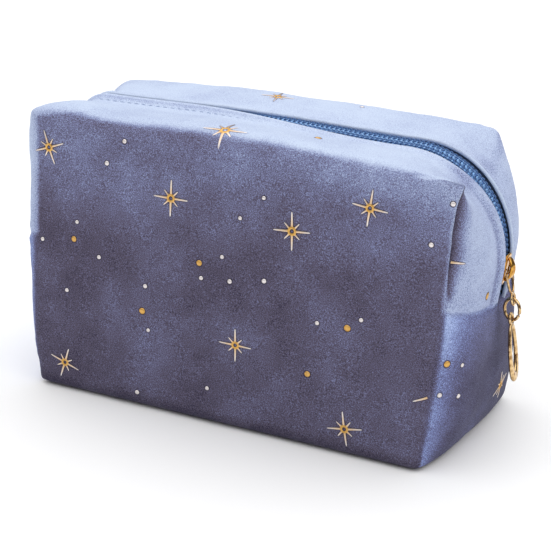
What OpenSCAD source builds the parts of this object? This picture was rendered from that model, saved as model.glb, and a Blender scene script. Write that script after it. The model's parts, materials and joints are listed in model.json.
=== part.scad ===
// Zippered boxy pouch: soft layered shell, coil zipper over the top, slider with a hanging pull.
// X is the length, -Y the front, +Z up. The origin is the middle of the base.

/* [Pouch] */
// length between the corner seams of the two ends
pouch_l = 165; // [120:1:220]
// depth from the front panel to the back panel
pouch_d = 83; // [60:1:110]
// height at the zipper
pouch_h = 109.5; // [80:0.5:140]
// distance from the middle to the zipper on each end, which bulges past the corner seams
end_x = 88.6; // [84:0.1:96]
// radius of the zipper's bend over each end
bend_r = 38; // [30:0.5:44]
// rounding of the panel edges
edge_r = 5; // [4.5:0.1:7]
// half width of the level strip that carries the zipper
strip_half = 14; // [13.8:0.1:18]
// height of the seam across each end, where the zipper stops
end_seam_z = 52; // [40:1:60]

/* [Fabric] */
// velvet with its turned edge
velvet_t = 1.6; // [1:0.1:2.4]
// foam interlining
foam_t = 1.8; // [1:0.1:3]
// lining
lining_t = 0.6; // [0.3:0.1:1]
// air between the layers
layer_gap = 0.15; // [0.1:0.05:0.3]
// half width of the slot between the velvet lips
lip_half = 5.5; // [5:0.1:6.5]
// half width of the slot in the lining
lining_half = 6; // [5.5:0.1:7]
// width of the binding on the inner seams
binding_w = 7; // [5:0.5:9]
// thickness of the folded binding
binding_t = 1.2; // [0.8:0.1:1.6]

/* [Zipper] */
// distance from the middle line to the near edge of each tape and coil
coil_in = 1.15; // [1.1:0.05:1.3]
// distance from the middle line to the far side of each coil
coil_out = 3.05; // [2.8:0.05:3.2]
// far edge of each tape
tape_out = 13; // [11:0.5:13.5]
// tape thickness
tape_t = 0.6; // [0.4:0.05:0.7]
// depth of the tape's face below the velvet's outer face
tape_deep = 1.9; // [1.8:0.05:2.2]
// height of the coil on the tape
coil_h = 1.5; // [1.2:0.1:1.6]

/* [Slider] */
// slider length along the zipper
slider_l = 11; // [9:0.5:12]
// half width of the slider
slider_half = 4.2; // [3.8:0.1:4.6]
// wall thickness of the slider's side flanges
flange_t = 0.7; // [0.5:0.1:0.8]
// underside of the top plate above the velvet's outer face
plate_low = 0.2; // [0.1:0.05:0.4]
// thickness of each plate
plate_t = 1.2; // [0.9:0.1:1.4]
// lower edge of the side flanges below the velvet's outer face
flange_deep = 1.25; // [1:0.05:1.4]
// upper face of the bottom plate below the velvet's outer face
bottom_deep = 3.3; // [3.2:0.05:3.5]
// half width of the post that parts the coils
post_half = 0.8; // [0.6:0.05:0.8]
// length of the post
post_l = 3; // [2:0.5:4]

/* [Crown] */
// radius of the crown's arch
crown_r = 4.9; // [4.5:0.1:5.5]
// thickness of the crown's arch
crown_t = 1; // [0.7:0.1:1.1]
// half width of the crown at its middle
crown_half = 2.1; // [1.8:0.1:2.3]
// half length of the crown's pointed outline
crown_reach = 6.2; // [5.5:0.1:7]

/* [Pull] */
// outward tilt of the link where it hangs
link_tilt = 15; // [10:1:20]
// distance from the link's bar to its eye
link_l = 10.2; // [9:0.1:11]
// thickness of the link
link_t = 1; // [0.8:0.1:1.1]
// inner half width of the link
link_in = 2.6; // [2.5:0.1:3]
// outer half width of the link
link_out = 3.6; // [3.4:0.1:4]
// outer radius of the link's eye
link_eye = 2.7; // [2.5:0.1:3]
// hole radius of the link's eye
link_hole = 1.45; // [1.3:0.05:1.6]
// radius of the jump ring to the middle of its wire
ring_r = 3.4; // [3.2:0.1:3.8]
// radius of the jump ring's wire
ring_wire = 0.65; // [0.5:0.05:0.7]
// turn of the jump ring about the vertical
ring_turn = -20; // [-30:1:0]
// radius of the hoop's round ends to the middle of its band
hoop_r = 3.4; // [3.3:0.1:4]
// radius of the hoop's band
hoop_band = 1.1; // [0.9:0.1:1.2]
// length of the hoop's straight sides
hoop_side = 14; // [10:0.5:16]
// outer radius of the hoop's eye
hoop_eye = 2.4; // [2.2:0.1:2.6]
// hole radius of the hoop's eye
hoop_hole = 1.35; // [1.2:0.05:1.5]
// thickness of the hoop's eye
hoop_eye_t = 1.4; // [1:0.1:1.6]

/* [Hidden] */

far = 200;
round_fn = 96;
shell_fn = 72;
corner_fn = 24;
small_corner_fn = 12;
small_corner_r = 1.5;
strip_edge = 0.5;

bend_x = end_x - bend_r;
bend_z = pouch_h - bend_r;
fall_x = pouch_l / 2 - edge_r - bend_x;
fall_z = bend_z - edge_r;
// lean of each end's straight wall, inward towards the base
lean = asin((bend_r - edge_r) / sqrt(fall_x * fall_x + fall_z * fall_z)) - atan2(fall_x, fall_z);

foam_out = velvet_t + layer_gap;
lining_out = foam_out + foam_t + layer_gap;
wall = lining_out + lining_t;
foam_half = tape_out + 0.6;
tape_end_z = end_seam_z - 3;

coil_low = tape_deep;
coil_high = tape_deep - coil_h;
plate_top = plate_low + plate_t;
bottom_low = bottom_deep + plate_t - 0.1;
slider_round = 6.4;

slider_x = bend_x + bend_r * cos(lean);
slider_z = bend_z - bend_r * sin(lean);
// the link's bar, from the slider's middle: outward and along the zipper
bar_r = 0.5;
bar_out = plate_top + 0.3 + bar_r;
bar_down = 1;
bar_x = slider_x + bar_out * cos(lean) - bar_down * sin(lean);
bar_z = slider_z - bar_out * sin(lean) - bar_down * cos(lean);
eye_x = bar_x + link_l * sin(link_tilt);
eye_z = bar_z - link_l * cos(link_tilt);
ring_z = eye_z - ring_r;
hoop_z = ring_z - ring_r;

crown_mid = bar_out + bar_r + 0.6 + crown_t - crown_r;
leaf_r = (crown_reach * crown_reach + crown_half * crown_half) / (2 * crown_half);

velvet_blue = [0.45, 0.52, 0.68];
lining_blue = [0.30, 0.35, 0.47];
foam_white = [0.90, 0.90, 0.88];
tape_blue = [0.36, 0.50, 0.70];
gold = [0.86, 0.70, 0.47];

function corner_steps(deep) = edge_r - deep > small_corner_r ? corner_fn : small_corner_fn;

// outline at the zipper, moved in by the given depth
module section(deep) {
    hull() {
        for (s = [-1, 1]) {
            translate([s * bend_x, bend_z])
                circle(r = bend_r - deep, $fn = shell_fn);
            translate([s * (pouch_l / 2 - edge_r), edge_r])
                circle(r = edge_r - deep, $fn = corner_steps(deep));
        }
    }
}

// level strip that carries the zipper, between two distances from the front
module strip(start, wide, deep) {
    translate([0, start + wide, 0])
        rotate([90, 0, 0])
            linear_extrude(wide)
                section(deep);
}

// the strip's outer edge drawn out to a square panel with four rounded corners
module panel_solid(side, deep) {
    hull() {
        strip(side < 0 ? -strip_half - strip_edge : strip_half, strip_edge, deep);
        for (s = [-1, 1]) {
            for (z = [edge_r, pouch_h - edge_r]) {
                translate([s * (pouch_l / 2 - edge_r), side * (pouch_d / 2 - edge_r), z])
                    sphere(r = edge_r - deep, $fn = corner_steps(deep));
            }
        }
    }
}

module pouch_solid(deep) {
    union() {
        strip(-strip_half, 2 * strip_half, deep);
        panel_solid(-1, deep);
        panel_solid(1, deep);
    }
}

// opening along the zipper, above the given height
module zip_slot(half, low) {
    translate([-far, -half, low])
        cube([2 * far, 2 * half, far]);
}

// fabric layer between two depths, open along the zipper
module layer(out, thick, half, low) {
    difference() {
        pouch_solid(out);
        pouch_solid(out + thick);
        zip_slot(half, low);
    }
}

// solid whose outer face follows the zipper's path at the given depth, down to a level
module path_solid(deep, low, wide) {
    r = bend_r - deep;
    tip_x = bend_x + r * cos(lean);
    tip_z = bend_z - r * sin(lean);
    foot_x = tip_x - (tip_z - low) * tan(lean);
    rotate([90, 0, 0])
        union() {
            for (s = [-1, 1]) {
                translate([s * bend_x, bend_z, 0])
                    cylinder(r = r, h = wide, $fn = round_fn);
            }
            linear_extrude(wide)
                polygon([[-bend_x, bend_z + r], [bend_x, bend_z + r], [bend_x, bend_z], [tip_x, tip_z],
                    [foot_x, low], [-foot_x, low], [-tip_x, tip_z], [-bend_x, bend_z]]);
        }
}

// band that follows the zipper's path: y from in to out, deep to high below the outer face, down to low
module path_band(in, out, deep, high, low) {
    difference() {
        translate([0, out, 0])
            path_solid(high, low - 1, out - in);
        translate([0, out + 1, 0])
            path_solid(deep, low - 2, out - in + 2);
        translate([-far, in - 1, low - far])
            cube([2 * far, out - in + 2, far]);
    }
}

// folded strip on the inner seam across one end
module end_binding(side) {
    base_x = pouch_l / 2 - wall - binding_t - 1;
    translate([side < 0 ? -base_x - binding_t : base_x, -pouch_d / 2 + wall + 6, end_seam_z - binding_w / 2 - 8])
        cube([binding_t, pouch_d - 2 * wall - 12, binding_w]);
}

// folded strip on the inner seam up one corner
module corner_binding(side_x, side_y) {
    base_x = pouch_l / 2 - edge_r - binding_w;
    base_y = pouch_d / 2 - wall - binding_t - 0.5;
    translate([side_x < 0 ? -base_x - binding_w : base_x, side_y < 0 ? -base_y - binding_t : base_y, edge_r + 4])
        cube([binding_w, binding_t, pouch_h - 2 * edge_r - 12]);
}

// places its children at the slider: x outward, z up along the zipper
module at_slider() {
    translate([slider_x, 0, slider_z])
        rotate([0, lean, 0])
            children();
}

module slider_plate(low, thick) {
    translate([low, 0, 0])
        rotate([0, 90, 0])
            linear_extrude(thick)
                intersection() {
                    square([slider_l, 2 * slider_half], center = true);
                    circle(r = slider_round, $fn = round_fn);
                }
}

module outer_velvet() {
    color(velvet_blue)
        layer(0, velvet_t, lip_half, end_seam_z);
}

module foam_interlining() {
    color(foam_white)
        layer(foam_out, foam_t, foam_half, tape_end_z - 0.6);
}

module lining() {
    color(lining_blue)
        layer(lining_out, lining_t, lining_half, end_seam_z);
}

module front_zip_tape() {
    color(tape_blue)
        path_band(-tape_out, -coil_in, tape_deep + tape_t, tape_deep, tape_end_z);
}

module back_zip_tape() {
    color(tape_blue)
        path_band(coil_in, tape_out, tape_deep + tape_t, tape_deep, tape_end_z);
}

module front_coil() {
    color(tape_blue)
        path_band(-coil_out, -coil_in, coil_low, coil_high, end_seam_z + 0.5);
}

module back_coil() {
    color(tape_blue)
        path_band(coil_in, coil_out, coil_low, coil_high, end_seam_z + 0.5);
}

module right_end_binding() {
    color(lining_blue)
        end_binding(1);
}

module left_end_binding() {
    color(lining_blue)
        end_binding(-1);
}

module front_right_binding() {
    color(lining_blue)
        corner_binding(1, -1);
}

module front_left_binding() {
    color(lining_blue)
        corner_binding(-1, -1);
}

module back_right_binding() {
    color(lining_blue)
        corner_binding(1, 1);
}

module back_left_binding() {
    color(lining_blue)
        corner_binding(-1, 1);
}

module slider_body() {
    color(gold)
        at_slider() {
            slider_plate(plate_low, plate_t);
            slider_plate(-bottom_low, bottom_low - bottom_deep);
            for (s = [-1, 1]) {
                translate([-flange_deep, s * (slider_half - flange_t / 2) - flange_t / 2, -slider_l / 2 + 1])
                    cube([flange_deep + plate_low + plate_t / 2, flange_t, slider_l - 2]);
            }
            translate([-bottom_deep - plate_t / 2, -post_half, -slider_l / 2 + 0.5])
                cube([bottom_deep + plate_low + plate_t, 2 * post_half, post_l]);
        }
}

module slider_crown() {
    color(gold)
        at_slider()
            intersection() {
                translate([crown_mid, 0, 0])
                    rotate([90, 0, 0])
                        difference() {
                            cylinder(r = crown_r, h = 4 * crown_half, center = true, $fn = round_fn);
                            cylinder(r = crown_r - crown_t, h = 5 * crown_half, center = true, $fn = round_fn);
                        }
                translate([plate_top, 0, 0])
                    rotate([0, 90, 0])
                        linear_extrude(far)
                            intersection() {
                                translate([0, leaf_r - crown_half])
                                    circle(r = leaf_r, $fn = round_fn);
                                translate([0, crown_half - leaf_r])
                                    circle(r = leaf_r, $fn = round_fn);
                            }
            }
}

module pull_link() {
    color(gold)
        translate([bar_x, 0, bar_z])
            rotate([0, -link_tilt, 0])
                difference() {
                    union() {
                        rotate([90, 0, 0])
                            cylinder(r = bar_r, h = 2 * link_out, center = true, $fn = round_fn);
                        for (s = [-1, 1]) {
                            translate([-link_t / 2, s * (link_in + link_out) / 2 - (link_out - link_in) / 2, -link_l + link_eye])
                                cube([link_t, link_out - link_in, link_l - link_eye]);
                        }
                        translate([-link_t / 2, -link_out, -link_l + link_eye - 0.9])
                            cube([link_t, 2 * link_out, 1.2]);
                        translate([0, 0, -link_l])
                            rotate([0, 90, 0])
                                cylinder(r = link_eye, h = link_t, center = true, $fn = round_fn);
                    }
                    // the hole lies level, in line with the jump ring's swing
                    translate([0, 0, -link_l])
                        rotate([0, 90 + link_tilt, 0])
                            cylinder(r = link_hole, h = 4 * link_t, center = true, $fn = round_fn);
                }
}

module jump_ring() {
    color(gold)
        translate([eye_x, 0, ring_z])
            rotate([0, 0, ring_turn])
                rotate([90, 0, 0])
                    rotate_extrude($fn = round_fn)
                        translate([ring_r, 0])
                            circle(r = ring_wire, $fn = round_fn);
}

module hoop_pull() {
    top_z = -hoop_eye + 0.5 - hoop_band - hoop_r;
    color(gold)
        translate([eye_x, 0, hoop_z])
            difference() {
                union() {
                    rotate([0, 90, 0])
                        cylinder(r = hoop_eye, h = hoop_eye_t, center = true, $fn = round_fn);
                    translate([0, 0, top_z])
                        rotate([90, 0, 90])
                            rotate_extrude(angle = 180, $fn = round_fn)
                                translate([hoop_r, 0])
                                    circle(r = hoop_band, $fn = round_fn);
                    translate([0, 0, top_z - hoop_side])
                        rotate([-90, 0, 90])
                            rotate_extrude(angle = 180, $fn = round_fn)
                                translate([hoop_r, 0])
                                    circle(r = hoop_band, $fn = round_fn);
                    for (s = [-1, 1]) {
                        translate([0, s * hoop_r, top_z - hoop_side])
                            cylinder(r = hoop_band, h = hoop_side, $fn = round_fn);
                    }
                }
                rotate([0, 90, 0])
                    cylinder(r = hoop_hole, h = 3 * hoop_eye_t, center = true, $fn = round_fn);
            }
}

outer_velvet();
foam_interlining();
lining();
front_zip_tape();
back_zip_tape();
front_coil();
back_coil();
right_end_binding();
left_end_binding();
front_right_binding();
front_left_binding();
back_right_binding();
back_left_binding();
slider_body();
slider_crown();
pull_link();
jump_ring();
hoop_pull();
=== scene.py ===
import json
import math
import bpy
import numpy as np
from mathutils import Matrix, Vector, noise
from mathutils.bvhtree import BVHTree
from mathutils.kdtree import KDTree


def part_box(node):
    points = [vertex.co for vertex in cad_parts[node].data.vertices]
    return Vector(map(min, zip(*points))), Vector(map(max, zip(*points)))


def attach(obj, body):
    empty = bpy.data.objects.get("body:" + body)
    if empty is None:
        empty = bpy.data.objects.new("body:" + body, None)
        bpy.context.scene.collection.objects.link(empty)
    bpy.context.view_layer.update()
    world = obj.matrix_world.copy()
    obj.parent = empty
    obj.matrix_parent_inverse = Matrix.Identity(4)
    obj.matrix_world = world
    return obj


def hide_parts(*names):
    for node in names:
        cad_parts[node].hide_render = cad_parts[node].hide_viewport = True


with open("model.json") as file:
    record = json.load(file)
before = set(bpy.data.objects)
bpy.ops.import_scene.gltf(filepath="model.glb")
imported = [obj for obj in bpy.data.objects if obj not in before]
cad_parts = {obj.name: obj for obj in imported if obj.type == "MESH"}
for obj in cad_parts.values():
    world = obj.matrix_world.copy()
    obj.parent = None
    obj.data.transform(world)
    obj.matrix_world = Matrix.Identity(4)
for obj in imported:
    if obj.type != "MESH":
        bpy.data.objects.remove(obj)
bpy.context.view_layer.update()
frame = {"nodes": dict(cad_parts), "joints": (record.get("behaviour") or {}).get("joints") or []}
mm = 0.001
random = np.random.default_rng(11)
print("frame loaded")

# camera, from the front right and a little above
view = {"turn": 23.7, "down": 19.8, "roll": 2.6, "distance": 564, "right": -5.5, "up": -11.4, "aimHeight": 60,
        "lens": 95.2, "shiftX": 0.018, "shiftY": 0.002}


def makeCamera():
    turn, down, roll = (math.radians(view[k]) for k in ("turn", "down", "roll"))
    forward = Vector((-math.sin(turn) * math.cos(down), math.cos(turn) * math.cos(down), -math.sin(down)))
    side = Vector((math.cos(turn), math.sin(turn), 0))
    rise = side.cross(forward)
    right = math.cos(roll) * side + math.sin(roll) * rise
    up = -math.sin(roll) * side + math.cos(roll) * rise
    place = -forward * view["distance"] + right * view["right"] + up * view["up"] + Vector((0, 0, view["aimHeight"]))
    data = bpy.data.cameras.new("viewCamera")
    data.lens = view["lens"]
    data.sensor_width = 36
    data.shift_x, data.shift_y = view["shiftX"], view["shiftY"]
    data.clip_start = 0.01
    camera = bpy.data.objects.new("viewCamera", data)
    bpy.context.scene.collection.objects.link(camera)
    turnMatrix = Matrix((right, up, -forward)).transposed().to_4x4()
    camera.matrix_world = Matrix.Translation(place * mm) @ turnMatrix
    bpy.context.scene.camera = camera
    return camera


makeCamera()


def linear(hexColour):
    parts = [int(hexColour[i:i + 2], 16) / 255 for i in (1, 3, 5)]
    return tuple(c / 12.92 if c <= 0.04045 else ((c + 0.055) / 1.055) ** 2.4 for c in parts) + (1.0,)


def addNode(tree, kind, settings=None, links=None):
    node = tree.nodes.new(kind)
    for name, value in (settings or {}).items():
        if isinstance(name, int) or name in node.inputs:
            node.inputs[name].default_value = value
        else:
            setattr(node, name, value)
    for name, source in (links or {}).items():
        tree.links.new(source, node.inputs[name])
    return node


def newMaterial(name):
    material = bpy.data.materials.new(name)
    material.use_nodes = True
    material.node_tree.nodes.clear()
    return material, material.node_tree


def patternOn(tree, kind, settings):
    # a pattern laid in the piece's own coordinates
    place = addNode(tree, "ShaderNodeTexCoord")
    return addNode(tree, kind, settings, {"Vector": place.outputs["Object"]})


def finishMaterial(tree, settings, links):
    shader = addNode(tree, "ShaderNodeBsdfPrincipled", settings, links)
    addNode(tree, "ShaderNodeOutputMaterial", None, {"Surface": shader.outputs["BSDF"]})


def twoTone(name, kind, pattern, first, second, surface, bump=None, output="Fac"):
    # one pattern drives the change between two colours and, with bump as strength and millimetres, the relief
    material, tree = newMaterial(name)
    field = patternOn(tree, kind, pattern).outputs[output]
    mix = addNode(tree, "ShaderNodeMix", {"data_type": "RGBA", 6: linear(first), 7: linear(second)}, {0: field})
    links = {"Base Color": mix.outputs[2]}
    if bump:
        relief = addNode(tree, "ShaderNodeBump", {"Strength": bump[0], "Distance": bump[1] * mm}, {"Height": field})
        links["Normal"] = relief.outputs["Normal"]
    finishMaterial(tree, surface, links)
    return material


def smoothStep(x):
    x = np.clip(x, 0, 1)
    return x * x * (3 - 2 * x)


def bell(x, width):
    return np.exp(-(x / width) ** 2)


def towards(values, target, share):
    return values + (target - values) * share


def roundTurn(count):
    return np.arange(count) * 2 * math.pi / count


def makePiece(name, points, faces, material, body, slotName, standsFor=None):
    mesh = bpy.data.meshes.new(name)
    mesh.from_pydata([tuple(p) for p in np.asarray(points, float) * mm], [], [tuple(int(i) for i in f) for f in faces])
    mesh.validate()
    mesh.shade_smooth()
    mesh.materials.append(material)
    piece = bpy.data.objects.new(name, mesh)
    bpy.context.scene.collection.objects.link(piece)
    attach(piece, body)
    if standsFor:
        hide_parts(standsFor)
    return piece


def gridFaces(rows, columns, start=0, closeRows=False, closeColumns=False, flip=False):
    faces = []
    for i in range(rows if closeRows else rows - 1):
        for j in range(columns if closeColumns else columns - 1):
            a, b = start + i * columns + j, start + i * columns + (j + 1) % columns
            c, d = start + ((i + 1) % rows) * columns + (j + 1) % columns, start + ((i + 1) % rows) * columns + j
            faces.append((a, d, c, b) if flip else (a, b, c, d))
    return faces


def sweep(path, wide, thick, sides=8, closed=False, across=(0, 1, 0), scale=None):
    # tube along a path; wide is measured along the given across direction, thick at right angles to it
    path = np.asarray(path, float)
    count = len(path)
    if closed:
        along = np.roll(path, -1, 0) - np.roll(path, 1, 0)
    else:
        along = np.gradient(path, axis=0)
    along /= np.linalg.norm(along, axis=1, keepdims=True)
    across = np.broadcast_to(np.asarray(across, float), path.shape)
    other = np.cross(along, across)
    other /= np.linalg.norm(other, axis=1, keepdims=True)
    across = np.cross(other, along)
    scale = np.ones(count) if scale is None else np.asarray(scale, float)
    angle = roundTurn(sides)
    ring = np.cos(angle)[None, :, None] * across[:, None, :] * wide
    ring = ring + np.sin(angle)[None, :, None] * other[:, None, :] * thick
    points = (path[:, None, :] + ring * scale[:, None, None]).reshape(-1, 3)
    faces = gridFaces(count, sides, 0, closeRows=closed, closeColumns=True)
    if not closed:
        faces += [tuple(range(sides))[::-1], tuple((count - 1) * sides + i for i in range(sides))]
    return points, faces


def joinParts(parts):
    points, faces, start = [], [], 0
    for p, f in parts:
        points.append(np.asarray(p, float))
        faces += [tuple(i + start for i in g) for g in f]
        start += len(p)
    return np.vstack(points), faces


# path of the zipper, measured along it from the middle of the top; out is the height above the velvet's face.
# the slider runs round the wide bend on the right, and the left bend is tighter
velvetHigh = np.array(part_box("outer_velvet")[1]) / mm
zipPath = {"topZ": velvetHigh[2], "bow": 1.2, "bowMiddle": -15, "bowHalf": 64,
           "right": {"end": velvetHigh[0], "radius": 38.0, "turn": math.radians(95.365)},
           "left": {"end": 87.0, "radius": 12.0, "turn": math.radians(87.5)}}


def zipSide(along):
    # radius, turn and start of the bend on each point's side
    isLeft = np.asarray(along) < 0
    left, right = zipPath["left"], zipPath["right"]
    pick = lambda f: np.where(isLeft, f(left), f(right))
    return pick(lambda s: s["radius"]), pick(lambda s: s["turn"]), pick(lambda s: s["end"] - s["radius"])


def zipPoint(along, out=0.0):
    along, out = np.broadcast_arrays(np.asarray(along, float), np.asarray(out, float))
    radius, turn, start = zipSide(along)
    a = np.abs(along)
    angle = np.clip((a - start) / radius, 0, turn)
    extra = np.maximum(a - start - radius * turn, 0)
    x = np.minimum(a, start) + (radius + out) * np.sin(angle) + extra * np.cos(angle)
    z = zipPath["topZ"] - radius + (radius + out) * np.cos(angle) - extra * np.sin(angle)
    # the top bows up a little between the bends
    onBow = np.clip((along - zipPath["bowMiddle"]) / zipPath["bowHalf"], -1, 1)
    z = z + zipPath["bow"] * np.cos(math.pi / 2 * onBow) ** 2
    return np.where(along < 0, -x, x), z


def zipPlace(along, y, out=0.0):
    x, z = zipPoint(along, out)
    return np.stack([x + 0 * y, 0 * x + y, z + 0 * y], -1)


def zipEnd(height, side):
    # how far along the zipper a height is reached on that side, given as a positive length
    radius, turn, start = (float(v) for v in zipSide(side))
    return start + radius * turn + (zipPath["topZ"] - radius + radius * math.cos(turn) - height) / math.sin(turn)


def zipEnds(height):
    return [zipEnd(height, side) for side in (-1, 1)]


def alongOf(points):
    # distance along the zipper of points near it
    radius, turn, start = zipSide(points[:, 0])
    x, z = np.abs(points[:, 0]), points[:, 2] - zipPath["topZ"] + radius
    angle = np.arctan2(np.maximum(x - start, 0), z)
    extra = (x - start - radius * np.sin(turn)) * np.cos(turn) - (z - radius * np.cos(turn)) * np.sin(turn)
    onBend = start + radius * np.minimum(angle, turn) + np.where(angle > turn, np.maximum(extra, 0), 0)
    along = np.where(x < start, x, onBend)
    return np.where(points[:, 0] < 0, -along, along)


# the pouch's outline: positions of the corner seams at each height, and of the end's foot
pouch = {
    "deep": 41.5, "topFront": 109.4, "topBack": 108.2, "level": 12.5,
    "lip": 8.0, "lipBend": 5.2, "lipClosed": 1.5, "lipRaise": 1.3, "bendRaise": 1.5,
    "frontRight": ([0, 18, 37, 49, 74, 92, 101, 108], [75.8, 77.0, 78.0, 79.2, 79.8, 80.3, 81.3, 83.6]),
    "frontLeft": ([0, 56, 104, 109], [-84.6, -83.6, -82.6, -83.6]),
    "backRight": ([0, 20, 40, 61, 80, 95, 103, 110], [84.3, 83.0, 79.8, 76.9, 75.5, 73.4, 71.6, 70.8]),
    "backLeft": ([0, 60, 95, 110], [-85.0, -85.2, -87.0, -88.5]),
    "footRight": ([-41.5, -27, -6, 15, 36, 41.5], [75.8, 79.4, 81.2, 84.0, 85.0, 84.6]),
    "footLeft": ([-41.5, -20, 0, 20, 41.5], [-86.0, -87.4, -88.0, -87.6, -85.0]),
    "endSeam": 55.0, "endSeamRise": 7.0,
    "frontPuff": 2.0, "backPuff": 3.0, "endPuffRight": 4.6, "endPuffLeft": 2.0, "upperPuffRight": 1.2,
    "upperPuffLeft": 5.2, "frontRoll": 7.5, "backRoll": 7.0, "frontRise": 4.2, "backRise": 3.6, "backArch": 2.2,
    "leftShoulder": 3.2, "tuckDeep": 3.6, "seamDeep": 0.8, "stitchAt": 4.7, "step": 1.3, "rounds": 18,
}


def edgeX(name, z):
    return np.interp(z, *pouch[name])


def seamHeight(y):
    return pouch["endSeam"] + pouch["endSeamRise"] * (np.abs(y) / pouch["deep"]) ** 1.4


def closedShare(along):
    # the two lips meet over the coil on the left and draw apart towards the right bend
    return 1 - smoothStep((np.asarray(along, float) + 42) / 84)


def lipAt(along):
    wide = towards(pouch["lip"], pouch["lipBend"], smoothStep((np.asarray(along, float) - 66) / 34))
    return towards(wide, pouch["lipClosed"], closedShare(along))


def lipRise(along):
    # the lips stand above the coil where they close over it, and again where they swell round the right bend
    onBend = smoothStep((np.asarray(along, float) - 45) / 55)
    return pouch["lipRaise"] * closedShare(along) + pouch["bendRaise"] * onBend


def hemProfile(distance, along):
    # raised roll beside the lip, then the groove drawn in by the topstitch
    roll = 0.5 * bell(distance - 1.9, 1.5)
    groove = -0.8 * bell(distance - pouch["stitchAt"], 0.8)
    return roll + groove + lipRise(along) * (1 - smoothStep(distance / 8))


def spaced(a, b, step):
    return np.linspace(a, b, max(2, int(round(abs(b - a) / step)) + 1))


def coons(left, right, low, high):
    # patch between four edges: left and right run with rows, low and high with columns
    rows, columns = len(left), len(low)
    v = np.linspace(0, 1, rows)[:, None, None]
    u = np.linspace(0, 1, columns)[None, :, None]
    ruled = (1 - u) * left[:, None] + u * right[:, None] + (1 - v) * low[None] + v * high[None]
    corners = ((1 - u) * (1 - v) * low[0] + u * (1 - v) * low[-1] + (1 - u) * v * high[0] + u * v * high[-1])
    return ruled - corners


def rollTurn(radius, past):
    # quarter roll from the panel up to the strip: how far in and how far down a point lies;
    # past is negative on the panel
    angle = np.clip((past + radius) / (2 * radius), 0, 1) * math.pi / 2
    inside = np.abs(past) < radius
    return np.where(inside, radius * (1 - np.cos(angle)), 0), np.where(inside, radius * (1 - np.sin(angle)), 0), inside


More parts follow.
